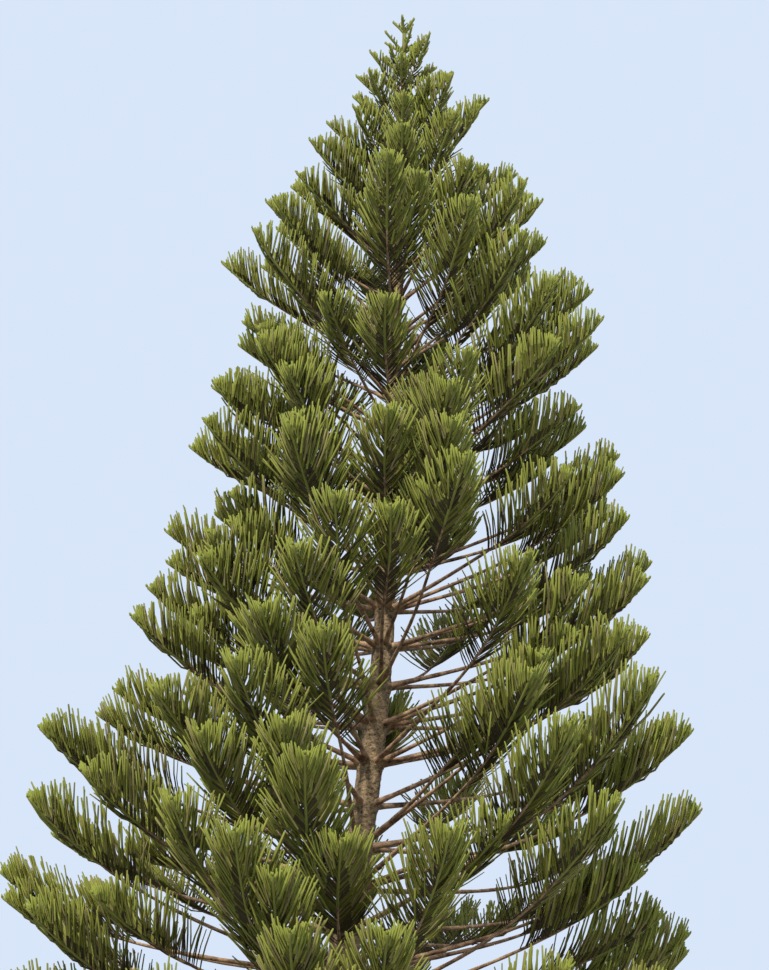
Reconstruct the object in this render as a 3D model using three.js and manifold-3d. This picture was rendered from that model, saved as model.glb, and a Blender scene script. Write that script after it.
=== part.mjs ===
// A cook pine (Araucaria columnaris), whole, rooted and full grown, from the ground to its leading shoot.
// Millimetres, +Z up. The origin is the middle of the flat cut under the trunk, at ground level.
//
// The boughs stand in whorls on a slightly leaning trunk. A bough leaves the trunk bare, rises a little, turns up
// at its end, and carries two ranks of long upright cords of scale leaves, set in a V over the limb. The bare
// stretch of each main bough is a limb of its own, and the leafy rest is one mass of foliage that forks into
// plumes. Near the top the boughs are short, and each mass starts at the trunk itself.

import * as THREE from "three";
import { mergeVertices } from "three/addons/utils/BufferGeometryUtils.js";
import Module from "manifold-3d";

const wasm = await Module();
wasm.setup();

// The whole tree
const TREE_HEIGHT = 11400;
const CROWN_BASE = 1750; // height of the lowest whorl
const CROWN_RADIUS_MOST = 2150;
const CROWN_RADIUS_LIMIT = 3150; // what the crown's cone would grow towards
const CROWN_TAPER_DEPTH = 6000; // depth below the tip over which the cone widens
const CROWN_SWELL = 0.065; // share by which the crown is fuller, and leaner, than its cone in turn
const CROWN_SWELL_AT = 2500; // depth below the tip where it is fullest
const CROWN_SWELL_LENGTH = 3600;
const SHADE_SHORTENING = 0.1; // share by which boughs towards -X are shorter
const FIT_GAP = 0.3; // clearance between two solids that meet

// The trunk
const TRUNK_TOP = TREE_HEIGHT - 270; // the leading shoot goes on from here
const TRUNK_TOP_RADIUS = 8;
const TRUNK_TAPER = 0.0136; // radius gained for each millimetre down
const TRUNK_SIDES = 18;
const TRUNK_RINGS = 14;
const TRUNK_RING_SPREAD = 1.5; // above 1, the rings crowd towards the ground
const ROOT_FLARE = 62;
const ROOT_FLARE_HEIGHT = 230;
const ROOT_LOBES = 5;
const ROOT_LOBE_DEPTH = 18;
const LEAN_SLOPE = 0.14; // the lower trunk's lean, towards +X
const TOP_LEAN_SLOPE = 0.03;
const STRAIGHTEN_HEIGHT = 7000; // where the trunk turns more upright
const STRAIGHTEN_LENGTH = 300;
const SWAY = 35;
const SWAY_LENGTH = 7600;

// Whorls and boughs
const WHORL_GAP_TOP = 110;
const WHORL_GAP_MORE = 140; // added lower down
const WHORL_GAP_DEPTH = 1800;
const WHORL_TURN = 30; // degrees from one whorl to the next
const MAIN_WHORLS = [0, 6, 12, 18, 24, 29, 34, 39]; // the whorls that are modelled, counted from the lowest
const LIMBED_TIERS = 4; // the lowest of them, whose boughs are bare near the trunk
const BOUGHS_LOW = 5;
const BOUGHS_HIGH = 4;
const HIGH_DEPTH = 2000; // above this depth a whorl has the smaller number
const RISE_LOW = 4; // degrees above level at the trunk, far down the tree
const RISE_MORE = 42; // added at the tip
const RISE_DEPTH = 3200; // half of that is added here
const TIP_RISE = 48; // degrees above level at a bough's end, which has turned up to it
const BOUGH_RADIUS_TOP = 4;
const BOUGH_RADIUS_MORE = 17;
const BOUGH_RADIUS_DEPTH = 4000;
const BOUGH_THINNING = 0.82; // share of the radius lost by the tip
const BOUGH_SIDES = 6;
const BOUGH_STEPS = 3;
const BARE_TOP = 0.06; // share of a bough that is bare, at the tree's tip
const BARE_PER_MM = 0.00011;
const BARE_MOST = 0.56;
const LENGTH_SPREAD = 0.1;
const AZIMUTH_SPREAD = 5;

// Plumes and cords
const PLUMES_BY_TIER = [4, 4, 4, 4, 4, 3, 2, 1];
const PLUME_FORK = 0.05; // share of the stem between one fork and the next
const PLUME_SWINGS = [0, 22, -22, 9]; // degrees that each plume of a mass swings out, from the lowest up
const PLUME_LEAFY = 0.12; // share of a plume's stem before its first cords
const PLUME_LEAFY_MORE = 0.08; // added for each plume above the lowest
const PLUME_RADIUS_LEAST = 13;
const PLUME_END = 0.94; // the stem's last ring, before its pointed end
const CORD_LENGTH_TOP = 30;
const CORD_LENGTH_MORE = 420;
const CORD_LENGTH_DEPTH = 1600;
const CORD_LENGTH_SPREAD = 0.24;
const CORD_PITCH = 156; // along the limb, on each side
const CORD_SPLAY_INNER = 48; // degrees from upright, to each side
const CORD_SPLAY_TIP = 30;
const CORD_TRIMS = [1, 0.75, 0.5]; // shares of its length at which a cord may still fit its space
const CORD_LEAN = 14; // degrees outwards
const CORD_SHORTEST = 0.3; // share of the full length, at the plume's end
const SPACE_MARGIN = 30; // kept clear inside a mass's own space
const LIMB_MARGIN = 70; // kept clear below the limbs of the next tier

// The leading shoot
const SHOOT_RINGS = [0.12, 0.64]; // shares of its height
const SHOOT_SEAT = 0.08; // share of its height that a ring of shoots takes
const SHOOT_LENGTH = 170;
const SHOOT_SHORTENING = 60; // from one ring to the next
const SHOOT_RISE = 40;
const SHOOT_STEEPENING = 14;

const radians = THREE.MathUtils.degToRad;
const lerp = THREE.MathUtils.lerp;
const UP = new THREE.Vector3(0, 0, 1);

// A repeatable number from 0 to 1 for each whole number.
function chance(seed) {
  const wave = Math.sin(seed * 12.9898 + 78.233) * 43758.5453;
  return wave - Math.floor(wave);
}

function trunkCentre(z) {
  const upright = STRAIGHTEN_LENGTH * Math.log1p(Math.exp((z - STRAIGHTEN_HEIGHT) / STRAIGHTEN_LENGTH));
  const x = LEAN_SLOPE * z - (LEAN_SLOPE - TOP_LEAN_SLOPE) * upright;
  return new THREE.Vector3(x, SWAY * Math.sin((2 * Math.PI * z) / SWAY_LENGTH), z);
}

function trunkRadius(z) {
  return TRUNK_TOP_RADIUS + TRUNK_TAPER * (TRUNK_TOP - z);
}

function crownReach(depth) {
  const cone = CROWN_RADIUS_LIMIT * (1 - Math.exp(-depth / CROWN_TAPER_DEPTH));
  const swell = 1 + CROWN_SWELL * Math.cos((2 * Math.PI * (depth - CROWN_SWELL_AT)) / CROWN_SWELL_LENGTH);
  return Math.min(CROWN_RADIUS_MOST, cone * swell);
}

// The share of its full length that a bough has, by the side of the tree it is on.
function sunnyShare(azimuth) {
  return 1 - (SHADE_SHORTENING * (1 - Math.cos(azimuth))) / 2;
}

function whorlHeights() {
  const heights = [];
  for (let z = CROWN_BASE; z < TRUNK_TOP; ) {
    heights.push(z);
    const depth = TREE_HEIGHT - z;
    z += WHORL_GAP_TOP + WHORL_GAP_MORE * (1 - Math.exp(-depth / WHORL_GAP_DEPTH));
  }
  return heights;
}

// What every bough of one whorl shares.
function whorl(index, height) {
  const depth = TREE_HEIGHT - height;
  const rise = RISE_LOW + RISE_MORE / (1 + (depth / RISE_DEPTH) ** 3);
  return {
    index,
    depth,
    base: trunkCentre(height),
    count: depth > HIGH_DEPTH ? BOUGHS_LOW : BOUGHS_HIGH,
    reach: crownReach(depth),
    slope: Math.tan(radians(rise)),
    tipSlope: Math.tan(radians(TIP_RISE)),
    radius: BOUGH_RADIUS_TOP + BOUGH_RADIUS_MORE * (1 - Math.exp(-depth / BOUGH_RADIUS_DEPTH)),
    bare: Math.min(BARE_MOST, BARE_TOP + BARE_PER_MM * depth),
    cord: CORD_LENGTH_TOP + CORD_LENGTH_MORE * (1 - Math.exp(-depth / CORD_LENGTH_DEPTH)),
  };
}

// Height of a bough above its foot, at a distance out from the trunk's centre.
function boughHeight(ring, out) {
  const share = out / ring.reach;
  return out * ring.slope + ((ring.tipSlope - ring.slope) * ring.reach * share ** 4) / 4;
}

function boughAzimuth(ring, number) {
  return radians((360 / ring.count) * number + WHORL_TURN * ring.index);
}

function limbRadius(ring, share) {
  return ring.radius * (1 - BOUGH_THINNING * share);
}

// A closed geometry's shared vertices are merged, and it becomes a solid.
function solidOf(geometry) {
  geometry.deleteAttribute("normal");
  geometry.deleteAttribute("uv");
  const merged = mergeVertices(geometry, 1e-4);
  return new wasm.Manifold(
    new wasm.Mesh({
      numProp: 3,
      vertProperties: merged.attributes.position.array,
      triVerts: new Uint32Array(merged.index.array),
    }),
  );
}

function geometryOf(solid) {
  const { vertProperties, triVerts } = solid.getMesh();
  const geometry = new THREE.BufferGeometry();
  geometry.setAttribute("position", new THREE.BufferAttribute(new Float32Array(vertProperties), 3));
  geometry.setIndex(new THREE.BufferAttribute(new Uint32Array(triVerts), 1));
  geometry.computeVertexNormals();
  return geometry;
}

// The trunk, level at each height, on its leaning centre line, with lobes where the roots spread.
function trunkSolid(extra) {
  const profile = [new THREE.Vector2(0, 0)];
  for (let i = 0; i <= TRUNK_RINGS; i++) {
    const z = TRUNK_TOP * (i / TRUNK_RINGS) ** TRUNK_RING_SPREAD;
    profile.push(new THREE.Vector2(trunkRadius(z) + extra, z));
  }
  profile.push(new THREE.Vector2(0, TRUNK_TOP));
  const lathe = new THREE.LatheGeometry(profile, TRUNK_SIDES);
  lathe.rotateX(Math.PI / 2);
  const position = lathe.attributes.position;
  for (let i = 0; i < position.count; i++) {
    const point = new THREE.Vector3().fromBufferAttribute(position, i);
    const radius = Math.hypot(point.x, point.y);
    if (radius > 0) {
      const flare = Math.exp(-point.z / ROOT_FLARE_HEIGHT);
      const lobe = ROOT_LOBE_DEPTH * Math.cos(ROOT_LOBES * Math.atan2(point.y, point.x));
      const swollen = 1 + (flare * (ROOT_FLARE + lobe)) / radius;
      point.x *= swollen;
      point.y *= swollen;
    }
    const centre = trunkCentre(point.z);
    position.setXYZ(i, point.x + centre.x, point.y + centre.y, point.z);
  }
  return solidOf(lathe);
}

// The directions at a place on a path: along it, level to its right, and square to both.
function frameAt(path, t) {
  const step = 1e-3;
  const along = path(t + step)
    .sub(path(t - step))
    .normalize();
  const across = new THREE.Vector3().crossVectors(along, UP);
  if (across.length() < 0.05) across.set(1, 0, 0);
  across.normalize();
  return { along, across, over: new THREE.Vector3().crossVectors(across, along) };
}

// A tapering limb: a cylinder carried on to a path.
function limbSolid(path, radiusAt, sides, steps) {
  const tube = new THREE.CylinderGeometry(1, 1, 1, sides, steps);
  const position = tube.attributes.position;
  for (let i = 0; i < position.count; i++) {
    const t = position.getY(i) + 0.5;
    const { across, over } = frameAt(path, t);
    const radius = radiusAt(t);
    const point = path(t)
      .addScaledVector(across, position.getX(i) * radius)
      .addScaledVector(over, position.getZ(i) * radius);
    position.setXYZ(i, point.x, point.y, point.z);
  }
  return solidOf(tube);
}

// Whether a point lies in the wedge of one bough and below the limbs of the tier above.
function inOwnSpace(point, tier, azimuth) {
  const { base, count } = tier.ring;
  const out = Math.hypot(point.x - base.x, point.y - base.y);
  const bearing = Math.atan2(point.y - base.y, point.x - base.x);
  const turned = Math.abs(Math.atan2(Math.sin(bearing - azimuth), Math.cos(bearing - azimuth)));
  const half = Math.PI / count;
  if (turned > half || out * Math.sin(half - turned) < SPACE_MARGIN) return false;
  if (!tier.above) return true;
  const above = tier.above.ring;
  const outAbove = Math.hypot(point.x - above.base.x, point.y - above.base.y);
  return point.z < above.base.z + boughHeight(above, outAbove) - LIMB_MARGIN;
}

// The full-grown cord at a share of a plume's leafy stretch, on its right (1) or left (-1), from root to tip.
function cordReach(ring, frame, share, side, seed) {
  const splay = radians(lerp(CORD_SPLAY_INNER, CORD_SPLAY_TIP, share));
  const outward = new THREE.Vector3(frame.along.x, frame.along.y, 0).normalize();
  const direction = new THREE.Vector3()
    .addScaledVector(UP, Math.cos(splay))
    .addScaledVector(frame.across, side * Math.sin(splay))
    .addScaledVector(outward, Math.tan(radians(CORD_LEAN)))
    .normalize();
  const grown = lerp(CORD_SHORTEST, 1, 1 - share ** 4);
  const size = ring.cord * grown * (1 + CORD_LENGTH_SPREAD * (chance(seed) - 0.5));
  return direction.multiplyScalar(size);
}

// A four-edged stem through the given places of its path, which ends in a point. Each face of it for which tipAt
// gives a point is drawn out to that point as a cord.
function drawnStem(path, radiusAt, places, tipAt) {
  const corners = [];
  const faces = [[0, 1, 2], [0, 2, 3]];
  for (const t of places) {
    const { across, over } = frameAt(path, t);
    for (const [right, up] of [[1, 0], [0, 1], [-1, 0], [0, -1]])
      corners.push(path(t).addScaledVector(across, right * radiusAt(t)).addScaledVector(over, up * radiusAt(t)));
  }
  for (let step = 0; step + 1 < places.length; step++) {
    for (let edge = 0; edge < 4; edge++) {
      const next = (edge + 1) % 4;
      const [a, b, c, d] = [4 * step + edge, 4 * step + next, 4 * step + 4 + next, 4 * step + 4 + edge];
      const tip = tipAt(step, edge, (places[step] + places[step + 1]) / 2);
      if (tip) {
        const p = corners.push(tip) - 1;
        faces.push([a, d, p], [d, c, p], [c, b, p], [b, a, p]);
      } else {
        faces.push([a, d, b], [b, d, c]);
      }
    }
  }
  const end = corners.push(path(1)) - 1;
  const last = 4 * (places.length - 1);
  for (let edge = 0; edge < 4; edge++) faces.push([last + edge, end, last + ((edge + 1) % 4)]);
  const geometry = new THREE.BufferGeometry().setFromPoints(corners);
  geometry.setIndex(faces.flat());
  return solidOf(geometry);
}

// One plume: a stem, bare at first. Beyond that, its two upper sides bear a cord in each step. The cord is trimmed
// or left out where it would leave the mass's own space.
function plumeSolid(tier, azimuth, path, radiusAt, leafy, seed) {
  const pairs = Math.max(4, Math.round(path(1).distanceTo(path(leafy)) / CORD_PITCH));
  const places = [0, leafy];
  for (let pair = 1; pair <= pairs; pair++) places.push(lerp(leafy, PLUME_END, pair / pairs));
  return drawnStem(path, radiusAt, places, (step, edge, middle) => {
    if (step === 0 || edge > 1) return null;
    const root = path(middle);
    const share = (step - 0.5) / pairs;
    const reach = cordReach(tier.ring, frameAt(path, middle), share, edge ? -1 : 1, seed + 2 * step + edge);
    const tips = CORD_TRIMS.map((trim) => root.clone().addScaledVector(reach, trim));
    return tips.find((tip) => [tip, tip.clone().lerp(root, 0.4)].every((point) => inOwnSpace(point, tier, azimuth)));
  });
}

// One mass of foliage: a stem that goes on from its bough, or from the trunk, and forks into plumes.
function foliageSolid(tier, bough) {
  const { ring, plumes } = tier;
  const lift = tier.above ? (tier.above.ring.base.z - ring.base.z) / plumes : 0;
  const parts = [];
  for (let level = 0; level < plumes; level++) {
    const from = bough.stemStart + PLUME_FORK * level * (bough.reach - bough.stemStart);
    const to = bough.reach * (crownReach(ring.depth - lift * level) / ring.reach);
    const turn = PLUME_SWINGS[level] * bough.swing;
    const path = (t) => {
      const out = lerp(from, to, t);
      const eased = 1 - (1 - t) ** 2;
      const bearing = bough.bearing + radians(turn) * eased;
      return new THREE.Vector3(
        ring.base.x + out * Math.cos(bearing),
        ring.base.y + out * Math.sin(bearing),
        ring.base.z + boughHeight(ring, out) + lift * level * eased,
      );
    };
    const leafy = (tier.limbed ? PLUME_LEAFY : ring.bare) + PLUME_LEAFY_MORE * level;
    const thinned = level ? 0.8 : 1;
    const radiusAt = (t) =>
      Math.max(t < leafy ? 0 : PLUME_RADIUS_LEAST, thinned * limbRadius(ring, lerp(from, to, t) / ring.reach));
    parts.push(plumeSolid(tier, bough.azimuth, path, radiusAt, leafy, bough.seed + 100 * level));
  }
  const joined = parts.reduce((all, part) => all.add(part));
  return tier.limbed ? joined : joined.subtract(trunkClear);
}

// The bare stretch of a main bough, from the trunk's bark to where its foliage starts.
function boughSolid(ring, bough) {
  const path = (t) => {
    const out = bough.bareEnd * t;
    return new THREE.Vector3(
      ring.base.x + out * Math.cos(bough.bearing),
      ring.base.y + out * Math.sin(bough.bearing),
      ring.base.z + boughHeight(ring, out),
    );
  };
  const radiusAt = (t) => limbRadius(ring, (bough.bareEnd * t) / ring.reach);
  return limbSolid(path, radiusAt, BOUGH_SIDES, BOUGH_STEPS).subtract(trunkClear);
}

// The leading shoot above the trunk, with its rings of young shoots.
function leaderSolid() {
  const foot = trunkCentre(TRUNK_TOP).addScaledVector(UP, FIT_GAP);
  const top = trunkCentre(TREE_HEIGHT);
  const path = (t) => new THREE.Vector3().lerpVectors(foot, top, t);
  const places = [0, ...SHOOT_RINGS.flatMap((share) => [share, share + SHOOT_SEAT])];
  return drawnStem(path, (t) => TRUNK_TOP_RADIUS * (1 - 0.6 * t), places, (step, edge, middle) => {
    if (step % 2 === 0) return null;
    const number = (step - 1) / 2;
    const rise = radians(SHOOT_RISE + SHOOT_STEEPENING * number);
    const { across, along, over } = frameAt(path, middle);
    const bearing = (Math.PI / 2) * (edge + 0.5);
    const outward = across.clone().multiplyScalar(Math.cos(bearing)).addScaledVector(over, Math.sin(bearing));
    const length = SHOOT_LENGTH - SHOOT_SHORTENING * number;
    return path(middle)
      .addScaledVector(outward, length * Math.cos(rise))
      .addScaledVector(along, length * Math.sin(rise));
  });
}

function standard(name, color, roughness) {
  return new THREE.MeshStandardMaterial({ name, color, roughness, metalness: 0 });
}

const bark = standard("bark", 0x736150, 0.95);
const limbBark = standard("limb_bark", 0x866e57, 0.9);
const foliage = standard("foliage", 0x616625, 0.7);
const youngFoliage = standard("young_foliage", 0x7c8234, 0.7);

const tree = new THREE.Group();

function addNode(name, solid, material) {
  const mesh = new THREE.Mesh(geometryOf(solid), material);
  mesh.name = name;
  tree.add(mesh);
}

const trunkClear = trunkSolid(FIT_GAP);
addNode("trunk", trunkSolid(0), bark);

const heights = whorlHeights();
const tiers = MAIN_WHORLS.map((index, i) => ({
  limbed: i < LIMBED_TIERS,
  plumes: PLUMES_BY_TIER[i],
  ring: whorl(index, heights[index]),
}));

for (const [i, tier] of tiers.entries()) {
  const { ring } = tier;
  tier.above = tiers[i + 1];
  for (let number = 0; number < ring.count; number++) {
    const seed = 1000 * ring.index + 10 * number;
    const azimuth = boughAzimuth(ring, number);
    const bearing = azimuth + radians(AZIMUTH_SPREAD * (chance(seed + 5) - 0.5));
    const reach = ring.reach * (1 + LENGTH_SPREAD * (chance(seed) - 0.5)) * sunnyShare(bearing);
    const bareEnd = tier.limbed ? ring.bare * reach : 0;
    const bough = {
      seed,
      azimuth,
      bearing,
      swing: (ring.index + number) % 2 ? 1 : -1,
      reach,
      bareEnd,
      stemStart: tier.limbed ? bareEnd + FIT_GAP : 0,
    };
    const label = `${i + 1}_${number + 1}`;
    if (tier.limbed) addNode(`bough_${label}`, boughSolid(ring, bough), limbBark);
    addNode(`foliage_${label}`, foliageSolid(tier, bough), foliage);
  }
}

addNode("foliage_leader", leaderSolid(), youngFoliage);

export default tree;
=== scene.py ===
# A cook pine: bark on its trunk and boughs, and two ranks of cords of scale leaves along every bough.
# Lengths are in metres, angles in degrees, and +Z is up. Azimuths turn from +X towards +Y.
# The whorls, boughs and cords follow the rule that the solids were made by, carried on to every whorl of the
# tree and to every cord.

import math

import bpy
import numpy as np
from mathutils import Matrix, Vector, noise


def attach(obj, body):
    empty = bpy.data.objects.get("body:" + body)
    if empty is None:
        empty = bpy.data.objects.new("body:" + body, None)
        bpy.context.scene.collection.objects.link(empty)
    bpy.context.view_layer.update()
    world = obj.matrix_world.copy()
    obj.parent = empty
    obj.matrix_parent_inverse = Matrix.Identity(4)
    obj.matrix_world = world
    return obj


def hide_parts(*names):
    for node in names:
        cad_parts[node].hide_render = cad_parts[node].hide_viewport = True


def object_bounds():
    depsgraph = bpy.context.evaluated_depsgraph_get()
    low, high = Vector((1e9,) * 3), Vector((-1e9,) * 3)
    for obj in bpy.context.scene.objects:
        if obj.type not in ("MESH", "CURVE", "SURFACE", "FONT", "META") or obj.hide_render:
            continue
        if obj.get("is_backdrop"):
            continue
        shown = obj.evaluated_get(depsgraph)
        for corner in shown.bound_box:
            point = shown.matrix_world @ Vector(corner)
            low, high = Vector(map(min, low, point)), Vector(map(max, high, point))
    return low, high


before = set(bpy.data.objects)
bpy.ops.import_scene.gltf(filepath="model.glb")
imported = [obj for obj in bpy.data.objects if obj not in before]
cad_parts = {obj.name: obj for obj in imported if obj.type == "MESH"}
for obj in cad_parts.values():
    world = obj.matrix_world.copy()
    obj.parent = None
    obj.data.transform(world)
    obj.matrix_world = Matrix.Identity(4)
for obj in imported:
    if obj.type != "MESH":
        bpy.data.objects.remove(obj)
cad_low, cad_high = (np.array(corner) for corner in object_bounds())

SEED = 7
UP = np.array([0.0, 0.0, 1.0])
TINY = 1e-9

# The whole tree. Depths are below its tip
TREE_HEIGHT = 11.4
CROWN_BASE = 1.75
CROWN_RADIUS_MOST = 2.15
CROWN_RADIUS_LIMIT = 3.15  # what the crown's radius would near, far below the tip
CROWN_TAPER_DEPTH = 6.0
CROWN_SWELL = 0.065  # share by which the crown is fuller, and leaner, than its cone in turn
CROWN_SWELL_AT = 2.5  # depth where it is fullest
CROWN_SWELL_LENGTH = 3.6
SHADE_SHORTENING = 0.1  # share by which boughs towards -X are shorter

# The trunk
TRUNK_TOP = TREE_HEIGHT - 0.27
TRUNK_TOP_RADIUS = 0.008
TRUNK_TAPER = 0.0136
LEAN_SLOPE = 0.14
TOP_LEAN_SLOPE = 0.03
STRAIGHTEN_HEIGHT = 7.0
STRAIGHTEN_LENGTH = 0.3
SWAY = 0.035
SWAY_LENGTH = 7.6
ROOT_FLARE = 0.062
ROOT_FLARE_HEIGHT = 0.23
ROOT_LOBES = 5
ROOT_LOBE_DEPTH = 0.018

# Whorls and boughs. TOP is for a value at the tree's tip, MORE for what is added to it further down, and
# DEPTH for how slowly
WHORL_GAP_TOP = 0.11
WHORL_GAP_MORE = 0.14
WHORL_GAP_DEPTH = 1.8
WHORL_TURN = 30
MAIN_WHORLS = [0, 6, 12, 18, 24, 29, 34, 39]
BOUGHS_LOW = 5
BOUGHS_HIGH = 4
HIGH_DEPTH = 2.0  # where one number of boughs changes to the other
RISE_LOW = 4  # of the lowest boughs' feet
RISE_MORE = 42  # added at the tree's tip
RISE_DEPTH = 3.2
TIP_RISE = 48  # of every bough's end
TIP_TURN = 4  # the power of its way out that a bough rises by towards its end
BOUGH_SWAY = 0.012  # share of its reach by which a bough sways sideways
BOUGH_SWAY_WAVES = 1.2
BOUGH_RADIUS_TOP = 0.004
BOUGH_RADIUS_MORE = 0.017
BOUGH_RADIUS_DEPTH = 4.0
BOUGH_THINNING = 0.82
BARE_TOP = 0.06
BARE_PER_M = 0.11
BARE_MOST = 0.56
LENGTH_SPREAD = 0.1
AZIMUTH_SPREAD = 5

# The whorls between the main ones have more boughs
BOUGHS_MORE = [(1.2, 6), (2.2, 8), (4.0, 9)]  # from each depth down, the number

# What the boughs between the main whorls vary by, each way
LOOSE_AZIMUTH = 12
LOOSE_RISE = 6
LOOSE_LENGTH = 0.05
LOOSE_SHORTENING = 0.24  # and some are this much shorter
BOX_MARGIN = 0.03  # how far past the solids' box a bough may reach

# Where the trunk shows between the boughs that come forward, and where they crowd in front of it
FRONT = 282
FRONT_GAP = 25
FRONT_GAP_KEPT = 0.3  # share of their own place in the gap that boughs keep as they are turned out of it
FRONT_GAP_DEPTHS = (4.6, 6.1)
CROWDED = [(3.9, 4.6, 279), (6.2, 7.3, 273)]  # from and to each depth, and the azimuth they crowd to
CROWDED_SPREAD = 0.4

# Azimuths of further boughs, by whorl: in front to the left of the trunk, and out to the right
FURTHER = {
    11: [238],
    12: [256],
    13: [246, 351],
    15: [262],
    16: [250],
    17: [263],
    19: [256, 341],
    20: [345],
    22: [24],
    23: [270, 350],
    24: [24],
    27: [344],
    28: [1],
}

# How far boughs on the right are turned, by whorl and number
TURNED = {(14, 7): 10, (15, 6): -17, (28, 5): 17, (30, 4): 30}

# The leader's rings of young shoots
SHOOT_RINGS = [0.12, 0.64]  # shares of its height
SHOOTS = 5
SHOOT_LENGTH = 0.17
SHOOT_SHORTENING = 0.06  # from ring to ring, as is the steepening
SHOOT_RISE = 40
SHOOT_STEEPENING = 14
SHOOT_RISE_SPREAD = 14
SHOOT_SPREAD = 30
SHOOT_RADIUS = 0.0125
SHOOT_CORD = 0.035
SHOOT_PITCH = 0.026
LEADER_RADIUS = 0.013
LEADER_SEED = 90000

# Cords. The first of two values is for the top of the tree, and the second for GROWN_DEPTH and below.
# A cord's place is the share of its bough's leafy stretch, or plume, from the plume's inner end to its tip
GROWN_DEPTH = 4.0
CORD_LENGTH_TOP = 0.02
CORD_LENGTH_MORE = 0.42
CORD_LENGTH_DEPTH = 1.85
CORD_LENGTH_SPREAD = 0.07
CORD_LENGTH_INNER = 0.75  # share of its length that a cord has at the inner end
CORD_LENGTH_INNER_TO = 0.2
CORD_TIP_LENGTH = 0.012  # of the cords on the last stretch of a bough, which is a thick green bud
BUD_LENGTH = 0.03
CORD_GROWTH = (0.78, 0.6)  # distance from the bud, in cord lengths, over which cords reach full length
CORD_PITCH = (0.0178, 0.013)
PAIRS_LEAST = 5
PLACE_SPREAD = 0.4  # in pitches, each way
PLACE_CROWDING = 1.12  # the power that crowds cords towards the tip
INNER_TO = 0.22  # the place that the inner, thinner part of a plume reaches to
INNER_KEPT = 0.3  # share of cords left at its start

# A cord's thickness
CORD_RADIUS = (0.0061, 0.0069)
CORD_RADIUS_SPREAD = 0.1
CORD_THICKNESS_INNER = 0.66  # share of its thickness that a cord has at the inner end
CORD_THICKNESS_TIP = 0.8
CORD_THICKNESS_TIP_POWER = 6
CORD_SIDES = 3
CORD_PROFILE = [(0, 0.65), (0.25, 1.0), (0.6, 1.0), (0.94, 0.78)]  # shares of its length, and radius there
CORD_STRETCHES = {"base": (0, 1), "middle": (1, 2), "end": (2, 3)}  # from which of those to which

# How a cord runs: it starts along or across its bough, hooks, and ends upright or splayed to its side
CORD_START_BELOW = (0.85, 0.4, -0.3)  # along the bough, across it and over it
CORD_START_BESIDE = (0.65, 0.7, 0.2)
UNDER_SHARE = 0.45  # of the cords by a plume's tip, which start below the bough
CORD_HOOK_INNER = 0.5  # share of its length over which a cord turns from its start to its end
CORD_HOOK_TIP = 0.2
CORD_BEND = 0.045
CORD_SPLAY_INNER = (34, 46)
CORD_SPLAY_TIP = (17, 14)
CORD_SPLAY_FALL = 2.5  # how fast the splay falls from a plume's inner end to its tip
CORD_SPLAY_SPREAD = 6
UPRIGHT_SHARE = 0.3
UPRIGHT_SPLAY = 0.4  # share of the splay that such cords have
CORD_LEAN_TOP = 4
CORD_LEAN_LOW = 15
CORD_LEAN_SPREAD = 3.5
CORD_LEAN_DEPTHS = (3.0, 6.0)
CORD_FORWARD = 0.3  # how far cords at the tip turn along the bough
CORD_FORWARD_POWER = 9
STRAY_SHARE = 0.04  # of the cords up to STRAY_TO, which hang out and curve up
STRAY_TO = 0.5
STRAY_SPLAY = 48
STRAY_THICKNESS = 0.7

PATH_STEPS = 72
PATH_LOOK = 0.01  # share of a path's length, each way, over which its direction is taken
NORMAL_MOST = 2  # how far off a normal spread may be, in standard deviations


def chance(seed):
    """A repeatable number from 0 to 1 for each whole number, as in the solids' rule."""
    wave = math.sin(seed * 12.9898 + 78.233) * 43758.5453
    return wave - math.floor(wave)


def vary(seed):
    """The same, from -0.5 to 0.5."""
    return chance(seed) - 0.5


def normal(rng, shape):
    """Normal spread around 0, without rare extremes."""
    return rng.standard_normal(shape).clip(-NORMAL_MOST, NORMAL_MOST)


def lerp(a, b, t):
    return a + (b - a) * t


def unit(vectors):
    return vectors / np.maximum(np.linalg.norm(vectors, axis=-1, keepdims=True), TINY)


def trunk_centre(z):
    z = np.asarray(z, dtype=float)
    upright = STRAIGHTEN_LENGTH * np.logaddexp(0, (z - STRAIGHTEN_HEIGHT) / STRAIGHTEN_LENGTH)
    x = LEAN_SLOPE * z - (LEAN_SLOPE - TOP_LEAN_SLOPE) * upright
    return np.stack([x, SWAY * np.sin(2 * np.pi * z / SWAY_LENGTH), z], axis=-1)


def trunk_radius(z):
    return TRUNK_TOP_RADIUS + TRUNK_TAPER * (TRUNK_TOP - z)


def crown_reach(depth):
    cone = CROWN_RADIUS_LIMIT * (1 - math.exp(-depth / CROWN_TAPER_DEPTH))
    swell = 1 + CROWN_SWELL * math.cos(2 * math.pi * (depth - CROWN_SWELL_AT) / CROWN_SWELL_LENGTH)
    return min(CROWN_RADIUS_MOST, cone * swell)


def sunny_share(azimuth):
    """The share of its full length that a bough has, by the side of the tree it is on."""
    return 1 - SHADE_SHORTENING * (1 - math.cos(math.radians(azimuth))) / 2


def by_depth(values, depth):
    """Between the value for the top of the tree and the one for grown boughs."""
    return lerp(*values, min(1, depth / GROWN_DEPTH))


def whorl_heights():
    heights = []
    z = CROWN_BASE
    while z < TRUNK_TOP:
        heights.append(z)
        z += WHORL_GAP_TOP + WHORL_GAP_MORE * (1 - math.exp(-(TREE_HEIGHT - z) / WHORL_GAP_DEPTH))
    return heights


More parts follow.
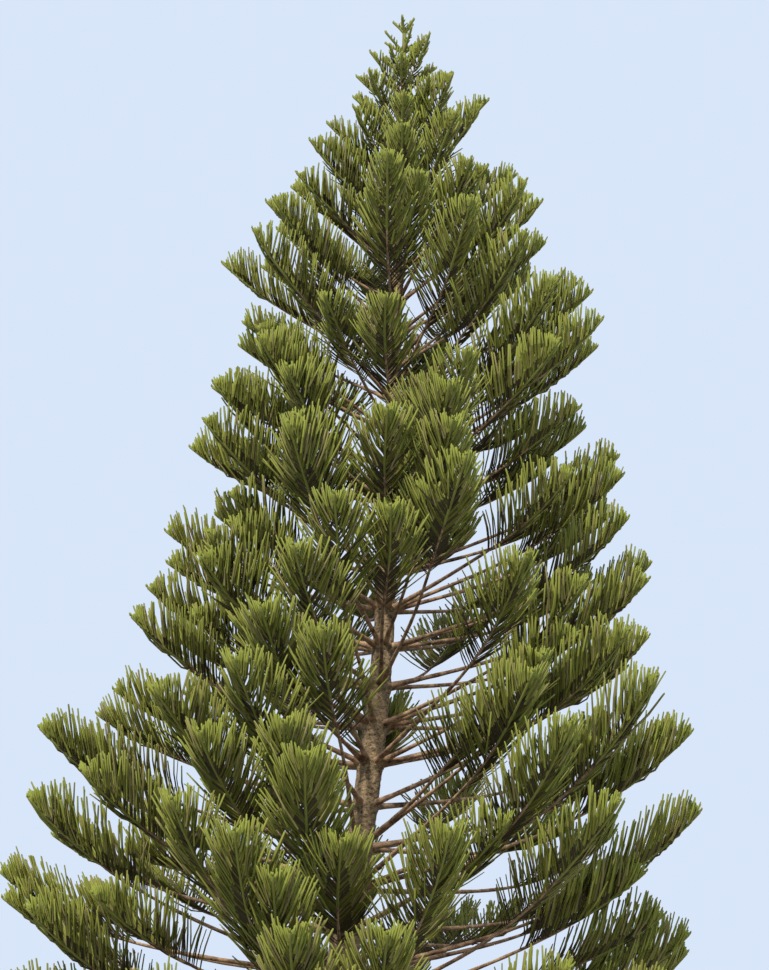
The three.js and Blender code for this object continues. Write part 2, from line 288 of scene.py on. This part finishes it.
class Path:
    """Places and directions along a line of points, by the share of its length."""

    def __init__(self, points):
        self.points = points
        steps = np.linalg.norm(np.diff(points, axis=0), axis=1)
        self.arc = np.concatenate([[0.0], np.cumsum(steps)])
        self.length = self.arc[-1]

    def at(self, share):
        place = share * self.length
        return np.stack([np.interp(place, self.arc, self.points[:, i]) for i in range(3)], axis=-1)

    def along(self, share):
        return unit(self.at(np.minimum(share + PATH_LOOK, 1)) - self.at(np.maximum(share - PATH_LOOK, 0)))


class Bough:
    """A bough, or a shoot of the leader: its path, thickness and cords' length.

    Reach is how far it goes out, and whole how far it would at the crown's full radius.
    """

    def __init__(self, foot, azimuth, reach, whole, rise, depth, seed):
        self.base = foot
        self.outward = np.array([math.cos(math.radians(azimuth)), math.sin(math.radians(azimuth)), 0.0])
        self.depth = depth
        self.seed = seed
        self.whole = whole
        self.reach = self.within_box(reach)
        self.slope = math.tan(math.radians(rise))
        self.tip_slope = max(self.slope, math.tan(math.radians(TIP_RISE)))
        self.radius = BOUGH_RADIUS_TOP + BOUGH_RADIUS_MORE * (1 - math.exp(-depth / BOUGH_RADIUS_DEPTH))
        self.bare = min(BARE_MOST, BARE_TOP + BARE_PER_M * depth)
        self.cord = CORD_LENGTH_TOP + CORD_LENGTH_MORE * (1 - math.exp(-depth / CORD_LENGTH_DEPTH))
        self.pitch = by_depth(CORD_PITCH, depth)
        self.tone = chance(seed + 4)
        self.walk = Path(self.points())

    def within_box(self, reach):
        for axis in (0, 1):
            side = cad_high[axis] + BOX_MARGIN if self.outward[axis] > 0 else cad_low[axis] - BOX_MARGIN
            if abs(self.outward[axis]) > TINY:
                reach = min(reach, (side - self.base[axis]) / self.outward[axis])
        return reach

    def points(self):
        """The bough's centre line, from the trunk's own centre to its tip."""
        share = np.linspace(0, 1, PATH_STEPS + 1)
        out = self.reach * share
        turn = (out / self.whole) ** TIP_TURN / TIP_TURN
        height = out * self.slope + (self.tip_slope - self.slope) * self.whole * turn
        waves = BOUGH_SWAY_WAVES * share + chance(self.seed + 6)
        sway = BOUGH_SWAY * self.reach * share * np.sin(2 * np.pi * waves)
        sideways = np.cross(UP, self.outward)
        return self.base + np.outer(out, self.outward) + np.outer(height, UP) + np.outer(sway, sideways)

    def radius_at(self, share):
        return self.radius * (1 - BOUGH_THINNING * share)


def turned_at_front(azimuth, depth):
    """Turns a bough aside where the trunk shows, and towards the front where boughs crowd there."""
    off = (azimuth - FRONT + 180) % 360 - 180
    if abs(off) > FRONT_GAP:
        return azimuth
    if FRONT_GAP_DEPTHS[0] < depth < FRONT_GAP_DEPTHS[1]:
        return FRONT + math.copysign(lerp(FRONT_GAP, abs(off), FRONT_GAP_KEPT), off)
    for start, end, middle in CROWDED:
        if start < depth < end:
            return middle + CROWDED_SPREAD * off
    return azimuth


def whorl_boughs(index, height):
    """The boughs of one whorl, which is a main one or loose, between the main ones."""
    depth = TREE_HEIGHT - height
    count = BOUGHS_LOW if depth > HIGH_DEPTH else BOUGHS_HIGH
    loose = index not in MAIN_WHORLS
    if loose:
        count = ([count] + [number for start, number in BOUGHS_MORE if depth > start])[-1]
    whole = crown_reach(depth)
    azimuths = [360 / count * number + WHORL_TURN * index for number in range(count)]
    boughs = []
    for number, azimuth in enumerate(azimuths + FURTHER.get(index, [])):
        seed = 1000 * index + 10 * number
        azimuth += AZIMUTH_SPREAD * vary(seed + 5) + TURNED.get((index, number), 0)
        if loose and number < count:
            azimuth = turned_at_front(azimuth + 2 * LOOSE_AZIMUTH * vary(seed + 1), depth)
        rise = RISE_LOW + RISE_MORE / (1 + (depth / RISE_DEPTH) ** 3)
        length = 1 + LENGTH_SPREAD * vary(seed)
        if loose:
            rise += 2 * LOOSE_RISE * vary(seed + 2)
            length += 2 * LOOSE_LENGTH * vary(seed + 3)
            length -= LOOSE_SHORTENING * chance(seed + 7) ** 3
        reach = whole * length * sunny_share(azimuth)
        boughs.append(Bough(trunk_centre(height), azimuth, reach, whole, rise, depth, seed))
    return boughs


def leader_shoots():
    """The rings of young shoots on the leader, above the last whorl."""
    shoots = []
    for ring, share in enumerate(SHOOT_RINGS):
        height = lerp(TRUNK_TOP, TREE_HEIGHT, share)
        for number in range(SHOOTS):
            seed = LEADER_SEED + 100 * ring + 10 * number
            azimuth = 360 / SHOOTS * (number + 0.5 * ring) + SHOOT_SPREAD * vary(seed)
            rise = SHOOT_RISE + SHOOT_STEEPENING * ring + SHOOT_RISE_SPREAD * vary(seed + 1)
            reach = (SHOOT_LENGTH - SHOOT_SHORTENING * ring) * math.cos(math.radians(rise))
            shoot = Bough(trunk_centre(height), azimuth, reach, reach, rise, TREE_HEIGHT - height, seed)
            shoot.radius = SHOOT_RADIUS
            shoot.cord = SHOOT_CORD
            shoot.pitch = SHOOT_PITCH
            shoots.append(shoot)
    return shoots


class Builder:
    """Gathers tubes into one mesh."""

    def __init__(self):
        self.vertices = []
        self.faces = []
        self.count = 0

    def tubes(self, centres, radii, sides, reference, stretch=None):
        """Tubes with a pointed end, or from and to a ring if a stretch is given.

        Centres are by tube, ring and axis, and radii by tube and ring. The reference is a direction for each
        tube that its sides are turned by.
        """
        tubes, rings, _ = centres.shape
        first, last = stretch or (0, rings - 1)
        tangents = unit(np.gradient(centres, axis=1))
        across = unit(np.cross(tangents, reference[:, None, :]))
        over = np.cross(across, tangents)
        turn = 2 * np.pi * np.arange(sides) / sides
        ring = np.cos(turn)[:, None] * across[:, :, None, :] + np.sin(turn)[:, None] * over[:, :, None, :]
        walls = (centres[:, :, None, :] + radii[:, :, None, None] * ring)[:, first : last + 1]
        vertices = walls.reshape(tubes, -1, 3)
        pointed = last == rings - 1
        if pointed:
            tips = centres[:, -1] + tangents[:, -1] * radii[:, -1, None]
            vertices = np.concatenate([vertices, tips[:, None, :]], axis=1)
        each = vertices.shape[1]
        start = self.count + each * np.arange(tubes)
        j = np.arange(sides)
        k = sides * np.arange(last - first)
        a = k[:, None] + j
        b = k[:, None] + (j + 1) % sides
        quads = np.stack([a, a + sides, b + sides, b], axis=-1).reshape(-1, 4)
        self.vertices.append(vertices.reshape(-1, 3))
        self.faces.append((start[:, None, None] + quads).reshape(-1, 4))
        if pointed:
            rim = sides * (last - first)
            ends = np.stack([rim + j, np.full(sides, each - 1), rim + (j + 1) % sides], axis=-1)
            self.faces.append((start[:, None, None] + ends).reshape(-1, 3))
        self.count += each * tubes

    def grid(self, rings):
        """A closed skin through rings of points, by ring, side and axis, flat at both ends."""
        count, sides, _ = rings.shape
        j = np.arange(sides)
        k = sides * np.arange(count - 1)
        a = k[:, None] + j
        b = k[:, None] + (j + 1) % sides
        self.vertices.append(rings.reshape(-1, 3))
        self.faces.append(self.count + np.stack([a, b, b + sides, a + sides], axis=-1).reshape(-1, 4))
        self.faces.append(self.count + j[None, ::-1])
        self.faces.append(self.count + sides * (count - 1) + j[None, :])
        self.count += count * sides

    def piece(self, name, material, slot, replaced=()):
        """Makes the mesh a piece of the scene, in place of the named solids if any are given."""
        mesh = bpy.data.meshes.new(name)
        vertices = np.concatenate(self.vertices)
        loops = np.concatenate([faces.ravel() for faces in self.faces])
        totals = np.concatenate([np.full(len(faces), faces.shape[1]) for faces in self.faces])
        starts = np.concatenate([[0], np.cumsum(totals)[:-1]])
        mesh.vertices.add(len(vertices))
        mesh.vertices.foreach_set("co", vertices.astype(np.float32).ravel())
        mesh.loops.add(len(loops))
        mesh.loops.foreach_set("vertex_index", loops.astype(np.int32))
        mesh.polygons.add(len(totals))
        mesh.polygons.foreach_set("loop_start", starts.astype(np.int32))
        mesh.update(calc_edges=True)
        mesh.shade_smooth()
        mesh.materials.append(material)
        piece = bpy.data.objects.new(name, mesh)
        bpy.context.scene.collection.objects.link(piece)
        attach(piece, "root")
        if replaced:
            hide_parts(*replaced)
        print(name, "triangles", int((totals - 2).sum()))


def plain(name, colour, roughness, specular=0.2):
    material = bpy.data.materials.new(name)
    material.use_nodes = True
    shader = material.node_tree.nodes["Principled BSDF"]
    shader.inputs["Base Color"].default_value = (*colour, 1)
    shader.inputs["Roughness"].default_value = roughness
    shader.inputs["Specular IOR Level"].default_value = specular
    return material


# Bark
BARK_ROUGHNESS = 0.9
PATCH_DETAIL = 8
PATCH_ROUGHNESS = 0.8
PATCH_EDGES = (0.4, 0.62)  # noise values that are all dark and all light
GRAIN_DETAIL = 4
GRAIN_STRENGTH = 0.8


def bark(name, dark, light, patch, grain, relief, flat=1):
    """Rough bark: patches of two browns with fine grain, flattened into bands where flat is above 1."""
    material = plain(name, light, BARK_ROUGHNESS)
    nodes = material.node_tree.nodes
    links = material.node_tree.links
    shader = nodes["Principled BSDF"]
    place = nodes.new("ShaderNodeTexCoord")
    bands = nodes.new("ShaderNodeMapping")
    bands.inputs["Scale"].default_value = (1, 1, flat)
    patches = nodes.new("ShaderNodeTexNoise")
    patches.inputs["Scale"].default_value = patch
    patches.inputs["Detail"].default_value = PATCH_DETAIL
    patches.inputs["Roughness"].default_value = PATCH_ROUGHNESS
    ramp = nodes.new("ShaderNodeValToRGB")
    for element, position, colour in zip(ramp.color_ramp.elements, PATCH_EDGES, (dark, light)):
        element.position = position
        element.color = (*colour, 1)
    grains = nodes.new("ShaderNodeTexNoise")
    grains.inputs["Scale"].default_value = grain
    grains.inputs["Detail"].default_value = GRAIN_DETAIL
    bump = nodes.new("ShaderNodeBump")
    bump.inputs["Strength"].default_value = GRAIN_STRENGTH
    bump.inputs["Distance"].default_value = relief
    links.new(place.outputs["Object"], bands.inputs["Vector"])
    links.new(bands.outputs["Vector"], patches.inputs["Vector"])
    links.new(bands.outputs["Vector"], grains.inputs["Vector"])
    links.new(patches.outputs["Fac"], ramp.inputs["Fac"])
    links.new(ramp.outputs["Color"], shader.inputs["Base Color"])
    links.new(grains.outputs["Fac"], bump.inputs["Height"])
    links.new(bump.outputs["Normal"], shader.inputs["Normal"])
    return material


# The trunk, with scaly relief, rings at the whorls and lobes where the roots spread
TRUNK_SIDES = 48
TRUNK_RINGS = 660
WHORL_SWELLING = 0.14  # share of the radius
WHORL_SWELLING_HEIGHT = 0.03
FULL_RELIEF_RADIUS = 0.09  # of the trunk; where it is thinner its relief is lower

# The reliefs of its bark: the patches to a metre across it and along it, where they start, and their depth
BARK_RELIEFS = [(30, 75, 0, 0.0045), (85, 190, 40, 0.0022), (4, 42, 80, 0.0035)]


def make_trunk(heights):
    z = np.linspace(0, TRUNK_TOP, TRUNK_RINGS)
    turn = 2 * np.pi * np.arange(TRUNK_SIDES) / TRUNK_SIDES
    radius = trunk_radius(z)
    swelling = np.zeros_like(z)
    for height in heights:
        swelling += WHORL_SWELLING * np.exp(-(((z - height) / WHORL_SWELLING_HEIGHT) ** 2))
    flare = np.exp(-z / ROOT_FLARE_HEIGHT)
    lobes = ROOT_FLARE + ROOT_LOBE_DEPTH * np.cos(ROOT_LOBES * turn)
    skin = (radius * (1 + swelling))[:, None] + flare[:, None] * lobes[None, :]
    scale = np.minimum(1, radius / FULL_RELIEF_RADIUS)
    for i in range(TRUNK_RINGS):
        for j in range(TRUNK_SIDES):
            x = math.cos(turn[j]) * radius[i]
            y = math.sin(turn[j]) * radius[i]
            relief = 0
            for across, along, start, deep in BARK_RELIEFS:
                relief += deep * noise.noise((across * x, across * y, along * z[i] + start))
            skin[i, j] += scale[i] * relief
    ring = np.stack([np.cos(turn), np.sin(turn), np.zeros_like(turn)], axis=-1)
    centres = trunk_centre(z)
    trunk = Builder()
    trunk.grid(centres[:, None, :] + skin[:, :, None] * ring[None, :, :])
    return trunk


# The boughs, whose bark ends where their young green stems take over
BOUGH_SIDES = 8
BOUGH_RINGS = 22
BARK_END = 0.55  # share of a bough's leafy stretch that has bark
COLLAR = 0.8  # share of the radius that a bough gains at the trunk
COLLAR_START = 0.04
COLLAR_LENGTH = 0.06
BOUGH_UNEVENNESS = 0.06  # share of the radius
STEM_OVERLAP = 0.04  # share of the bough's length
STEM_SIDES = 6
STEM_RINGS = 12
STEM_END = 0.995  # share of the bough's length where the stem's point starts
STEM_END_RADIUS = 0.008
LEADER_OVERLAP = 0.02
LEADER_PAST_RING = 0.01  # how far the leader goes on above its last ring of shoots


def add_limbs(builder, boughs, rng):
    share = np.stack([np.linspace(0, lerp(b.bare, 1, BARK_END), BOUGH_RINGS) for b in boughs])
    centres = np.stack([b.walk.at(along) for b, along in zip(boughs, share)])
    radii = np.stack([b.radius_at(along) for b, along in zip(boughs, share)])
    out = share * np.array([b.walk.length for b in boughs])[:, None]
    radii = radii * (1 + COLLAR * np.exp(-np.maximum(0, out - COLLAR_START) / COLLAR_LENGTH))
    radii = radii * (1 + BOUGH_UNEVENNESS * rng.standard_normal(radii.shape))
    builder.tubes(centres, radii, BOUGH_SIDES, np.tile(UP, (len(boughs), 1)))


def add_stems(builder, boughs, starts):
    """The young green stem of each bough, from a share of its length to its tip."""
    share = [np.linspace(start, STEM_END, STEM_RINGS) for start in starts]
    centres = np.stack([b.walk.at(along) for b, along in zip(boughs, share)])
    radii = np.stack([np.maximum(STEM_END_RADIUS, b.radius_at(along)) for b, along in zip(boughs, share)])
    builder.tubes(centres, radii, STEM_SIDES, np.tile(UP, (len(boughs), 1)))


def add_leader(builder):
    """The young stem that carries the trunk on to the tree's tip."""
    last_ring = lerp(TRUNK_TOP, TREE_HEIGHT, SHOOT_RINGS[-1])
    z = np.linspace(TRUNK_TOP - LEADER_OVERLAP, last_ring + LEADER_PAST_RING, STEM_RINGS)
    radii = np.full(STEM_RINGS, LEADER_RADIUS)
    builder.tubes(trunk_centre(z)[None], radii[None], STEM_SIDES, np.array([[0.0, 1.0, 0.0]]))


# Cords' colours, as shares of the cords. Each cord is painted darker towards its root, as the shade inside
# its plume, with a middle that is mostly a deeper green and its own green at its end. The darkest colour is
# both that painted shade and the colour of old inner cords. The first of two values is for grown boughs, and
# the second for the youngest
KINDS = ("fresh", "green", "deep", "old_and_painted_shade", "olive")
FRESH, GREEN, DEEP, OLD_AND_PAINTED_SHADE, OLIVE = range(len(KINDS))
YOUNG_DEPTH = 2.2  # above this depth, more and more cords are young
# shares of cords whose root stretch has the darkest colour, as painted shade
PAINTED_SHADE_BASES = (0.55, 0.1)
GREEN_MIDDLES = (0.25, 0.85)
DEEP_ENDS = (0.12, 0.02)
FRESH_ENDS = (0.1, 0.8)
DRY_MIDDLES = 0.2
DRY_ENDS = 0.08
DRY_TONE = 0.7  # a bough's tone, from 0 to 1, above which more of its cords are dry
DRY_MIDDLES_MORE = 0.4
DRY_ENDS_MORE = 0.3
YOUNG_FROM = 0.8  # the place from which a plume's cords are young
ZONE_SPREAD = 0.05
# share of inner cords whose middle has the darkest colour, both the colour of old cords and painted shade
INNER_OLD_AND_PAINTED_SHADE_MIDDLES = 0.6
INNER_DEEP_ENDS = 0.7


def cord_kinds(place, stray, bough, rng):
    """The colour of each stretch of each cord, darkest at its root, where the shade inside the plume is
    painted, and brightest at its end.
    """
    count = len(place)
    draw = rng.random(count)
    youth = max(0, 1 - bough.depth / YOUNG_DEPTH)
    # Painted shade: most grown cords' roots get the darkest colour, and the rest a deeper green
    base = np.where(draw < lerp(*PAINTED_SHADE_BASES, youth), OLD_AND_PAINTED_SHADE, DEEP)
    # Middles are mostly a deeper green, so the painted shade fades towards the lit end
    middle = np.where(draw > lerp(*GREEN_MIDDLES, youth), DEEP, GREEN)
    end = np.where(draw < lerp(*DEEP_ENDS, youth), DEEP, GREEN)
    end[draw > 1 - lerp(*FRESH_ENDS, youth)] = FRESH
    dry = rng.random(count)
    dryness = max(0, bough.tone - DRY_TONE)
    middle[dry < DRY_MIDDLES + DRY_MIDDLES_MORE * dryness] = OLIVE
    end[dry < DRY_ENDS + DRY_ENDS_MORE * dryness] = OLIVE
    young = place > YOUNG_FROM + ZONE_SPREAD * rng.standard_normal(count)
    base[young] = DEEP
    middle[young] = GREEN
    end[young] = FRESH
    # Inner cords are dark as old cords are, and darkened further as painted shade
    inner = place < INNER_TO + ZONE_SPREAD * rng.standard_normal(count)
    base[inner] = OLD_AND_PAINTED_SHADE
    middle[inner] = np.where(draw[inner] < INNER_OLD_AND_PAINTED_SHADE_MIDDLES, OLD_AND_PAINTED_SHADE, DEEP)
    end[inner] = np.where(draw[inner] < INNER_DEEP_ENDS, DEEP, OLIVE)
    # Stray cords hanging below the bough are dark as old cords are, and as painted shade
    base[stray] = OLD_AND_PAINTED_SHADE
    middle[stray] = OLD_AND_PAINTED_SHADE
    end[stray] = DEEP
    return {"base": base, "middle": middle, "end": end}


def cords_of(bough, rng):
    """The cords of one bough: how each one runs, its thickness and its colours."""
    walk = bough.walk
    leafy = walk.length * (1 - bough.bare)
    pairs = max(PAIRS_LEAST, round(leafy / bough.pitch))
    place = np.repeat((np.arange(pairs) + 0.5) / pairs, 2)
    place = place + rng.uniform(-PLACE_SPREAD, PLACE_SPREAD, 2 * pairs) / pairs
    place = 1 - (1 - np.clip(place, 0, 1)) ** PLACE_CROWDING
    side = np.tile([1.0, -1.0], pairs)
    kept = rng.random(2 * pairs) < INNER_KEPT + place / INNER_TO
    place = place[kept]
    side = side[kept]
    share = bough.bare + (1 - bough.bare) * place
    count = len(share)
    stray = (rng.random(count) < STRAY_SHARE) & (place < STRAY_TO)

    root = walk.at(share)
    along = walk.along(share)
    across = unit(np.cross(along, UP)) * side[:, None]
    over = np.cross(unit(np.cross(along, UP)), along)
    outward = unit(along * [1, 1, 0])

    inner_splay = by_depth(CORD_SPLAY_INNER, bough.depth)
    splay = lerp(by_depth(CORD_SPLAY_TIP, bough.depth), inner_splay, (1 - place) ** CORD_SPLAY_FALL)
    splay += CORD_SPLAY_SPREAD * rng.standard_normal(count)
    splay = np.where(rng.random(count) < UPRIGHT_SHARE, UPRIGHT_SPLAY * splay, splay)
    splay = np.radians(np.where(stray, STRAY_SPLAY, splay))
    depths = CORD_LEAN_DEPTHS
    lowness = min(1, max(0, (bough.depth - depths[0]) / (depths[1] - depths[0])))
    lean = lerp(CORD_LEAN_TOP, CORD_LEAN_LOW, lowness) + CORD_LEAN_SPREAD * rng.standard_normal(count)
    final = (
        UP * np.cos(splay)[:, None]
        + across * np.sin(splay)[:, None]
        + outward * np.tan(np.radians(lean))[:, None]
    )
    forward = CORD_FORWARD * place[:, None] ** CORD_FORWARD_POWER
    final = unit(unit(final) * (1 - forward) + along * forward)

    def towards(ahead, aside, above):
        return ahead * along + aside * across + above * over

    under = (rng.random(count) < UNDER_SHARE * place**2)[:, None]
    start = unit(np.where(under, towards(*CORD_START_BELOW), towards(*CORD_START_BESIDE)))

    from_tip = np.maximum(0, leafy * (1 - place) - BUD_LENGTH) + CORD_TIP_LENGTH
    length = bough.cord * np.tanh(from_tip / (by_depth(CORD_GROWTH, bough.depth) * bough.cord))
    length *= lerp(CORD_LENGTH_INNER, 1, np.minimum(1, place / CORD_LENGTH_INNER_TO))
    length *= 1 + CORD_LENGTH_SPREAD * normal(rng, count)
    bend = CORD_BEND * rng.standard_normal((count, 3)) * [1, 1, 0]
    hook = lerp(CORD_HOOK_INNER, CORD_HOOK_TIP, place)

    thick = by_depth(CORD_RADIUS, bough.depth) * (1 + CORD_RADIUS_SPREAD * normal(rng, count))
    thick *= (
        np.minimum(1, CORD_THICKNESS_INNER + place)
        * lerp(1, CORD_THICKNESS_TIP, place**CORD_THICKNESS_TIP_POWER)
        * np.where(stray, STRAY_THICKNESS, 1)
    )
    return {
        "root": root,
        "start": start,
        "final": final,
        "bend": bend,
        "hook": hook,
        "length": length,
        "thick": thick,
        "across": across,
        **cord_kinds(place, stray, bough, rng),
    }


def add_cords(builders, cords):
    """Every cord, each stretch of it gathered by its colour.

    A cord sets out in its start direction and turns to its final one. Early is how far it has gone in the
    first of them.
    """
    t, shape = np.array(CORD_PROFILE).T
    hook = cords["hook"][:, None]
    early = (hook * (1 - (1 - t) ** (1 / hook)))[:, :, None]
    centres = cords["root"][:, None, :] + cords["length"][:, None, None] * (
        early * cords["start"][:, None, :]
        + (t[None, :, None] - early) * cords["final"][:, None, :]
        + (t**2)[:, None] * cords["bend"][:, None, :]
    )
    radii = cords["thick"][:, None] * shape
    across = cords["across"]
    for name, stretch in CORD_STRETCHES.items():
        for number, kind in enumerate(KINDS):
            chosen = cords[name] == number
            if chosen.any():
                builders[kind].tubes(centres[chosen], radii[chosen], CORD_SIDES, across[chosen], stretch)


# The zones that the pieces are joined by: from and to which whorl, and the tiers of solids it stands for
ZONES = {"low": (0, 12, (1, 2)), "middle": (12, 24, (3, 4)), "high": (24, None, (5, 6, 7, 8))}

bark_material = bark(
    "bark",
    dark=(0.052, 0.034, 0.019),
    light=(0.43, 0.31, 0.18),
    patch=34,
    grain=90,
    relief=0.01,
    flat=1.7,
)
limb_material = bark(
    "limb_bark",
    dark=(0.08, 0.044, 0.028),
    light=(0.47, 0.315, 0.19),
    patch=14,
    grain=120,
    relief=0.003,
)
stem_material = plain("young_stem", (0.18, 0.19, 0.042), roughness=0.7)
leaf_materials = {
    "fresh": plain("leaf_fresh", (0.22, 0.246, 0.044), roughness=0.6, specular=0.12),
    "green": plain("leaf_green", (0.203, 0.218, 0.044), roughness=0.62, specular=0.12),
    # A deeper green, also laid on cords' roots and middles as painted shade that fades towards their ends
    "deep": plain("leaf_deep", (0.142, 0.147, 0.03), roughness=0.66, specular=0.06),
    # The darkest leaf colour: old inner cords, and painted shade at the roots of the cords
    "old_and_painted_shade": plain("leaf_old_and_painted_shade", (0.072, 0.059, 0.034), roughness=0.7, specular=0.02),
    "olive": plain("leaf_olive", (0.215, 0.19, 0.076), roughness=0.68, specular=0.08),
}
leaf_slots = dict.fromkeys(KINDS, "foliage")
leaf_slots["fresh"] = "young_foliage"


def nodes_of(kind, tiers):
    """The solids of one kind in some tiers. Their names are the kind, the tier and a number."""
    named = [name.split("_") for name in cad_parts]
    return ["_".join(words) for words in named if words[0] == kind and words[1] in map(str, tiers)]


heights = whorl_heights()
whorls = [whorl_boughs(index, height) for index, height in enumerate(heights)]
make_trunk(heights).piece("trunk_bark", bark_material, "bark", ["trunk"])

for zone, (first, last, tiers) in ZONES.items():
    boughs = [bough for whorl in whorls[first:last] for bough in whorl]
    rng = np.random.default_rng(SEED + first)
    limbs = Builder()
    add_limbs(limbs, boughs, rng)
    limbs.piece(f"boughs_{zone}", limb_material, "limb_bark", nodes_of("bough", tiers))
    stems = Builder()
    add_stems(stems, boughs, [lerp(bough.bare, 1, BARK_END) - STEM_OVERLAP for bough in boughs])
    masses = nodes_of("foliage", tiers)
    if last is None:
        shoots = leader_shoots()
        add_leader(stems)
        add_stems(stems, shoots, [0] * len(shoots))
        boughs += shoots
        masses.append("foliage_leader")
    stems.piece(f"stems_{zone}", stem_material, "foliage")

    builders = {kind: Builder() for kind in KINDS}
    for bough in boughs:
        add_cords(builders, cords_of(bough, rng))
    for kind in KINDS:
        replaced = masses if kind == "green" else []
        builders[kind].piece(f"cords_{kind}_{zone}", leaf_materials[kind], leaf_slots[kind], replaced)

# The camera stands on level ground in front of the tree and looks up at its crown
FRAME_WIDTH = 769
FRAME_HEIGHT = 970
CAMERA_DISTANCE = 17.0
EYE_HEIGHT = 1.6
CAMERA_PITCH = 21.24
FOCAL_PIXELS = 3033
TIP_PIXEL_X = 405
SENSOR = 36.0
VIEW_END = 200

camera_data = bpy.data.cameras.new("camera")
camera = bpy.data.objects.new("camera", camera_data)
bpy.context.scene.collection.objects.link(camera)
camera_data.sensor_width = SENSOR
camera_data.lens = FOCAL_PIXELS * SENSOR / FRAME_HEIGHT
tip = trunk_centre(TREE_HEIGHT)
pitch = math.radians(CAMERA_PITCH)
tip_depth = CAMERA_DISTANCE * math.cos(pitch) + (TREE_HEIGHT - EYE_HEIGHT) * math.sin(pitch)
camera_x = tip[0] - (TIP_PIXEL_X - FRAME_WIDTH / 2) * tip_depth / FOCAL_PIXELS
camera.location = (camera_x, -CAMERA_DISTANCE, EYE_HEIGHT)
camera.rotation_euler = (math.radians(90) + pitch, 0, 0)
camera_data.clip_end = VIEW_END
bpy.context.scene.camera = camera

# Soft daylight: a pale sky all round and a large sun, high behind the camera and a little to its left
SKY_COLOUR = (0.69, 0.79, 0.95)
SKY_STRENGTH = 1.0
SUN_STRENGTH = 4.5
SUN_ANGLE = 9
SUN_COLOUR = (1.0, 0.94, 0.84)
SUN_DIRECTION = (0.22, 0.66, -0.72)

world = bpy.data.worlds.new("sky")
world.use_nodes = True
sky = world.node_tree.nodes["Background"]
sky.inputs["Color"].default_value = (*SKY_COLOUR, 1)
sky.inputs["Strength"].default_value = SKY_STRENGTH
bpy.context.scene.world = world

sun_data = bpy.data.lights.new("sun", "SUN")
sun_data.energy = SUN_STRENGTH
sun_data.angle = math.radians(SUN_ANGLE)
sun_data.color = SUN_COLOUR
sun = bpy.data.objects.new("sun", sun_data)
sun.rotation_euler = Vector(SUN_DIRECTION).to_track_quat("-Z", "Y").to_euler()
bpy.context.scene.collection.objects.link(sun)

bpy.context.scene.view_settings.view_transform = "Standard"

# The floor
FLOOR_RADIUS = 80
FLOOR_SIDES = 96
FLOOR_COLOUR = (0.34, 0.34, 0.31)
bpy.ops.mesh.primitive_circle_add(
    vertices=FLOOR_SIDES, radius=FLOOR_RADIUS, fill_type="NGON", location=(0, 0, 0)
)
floor = bpy.context.object
floor.name = "floor"
floor.data.materials.append(plain("floor_plain", FLOOR_COLOUR, roughness=0.9))
floor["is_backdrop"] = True
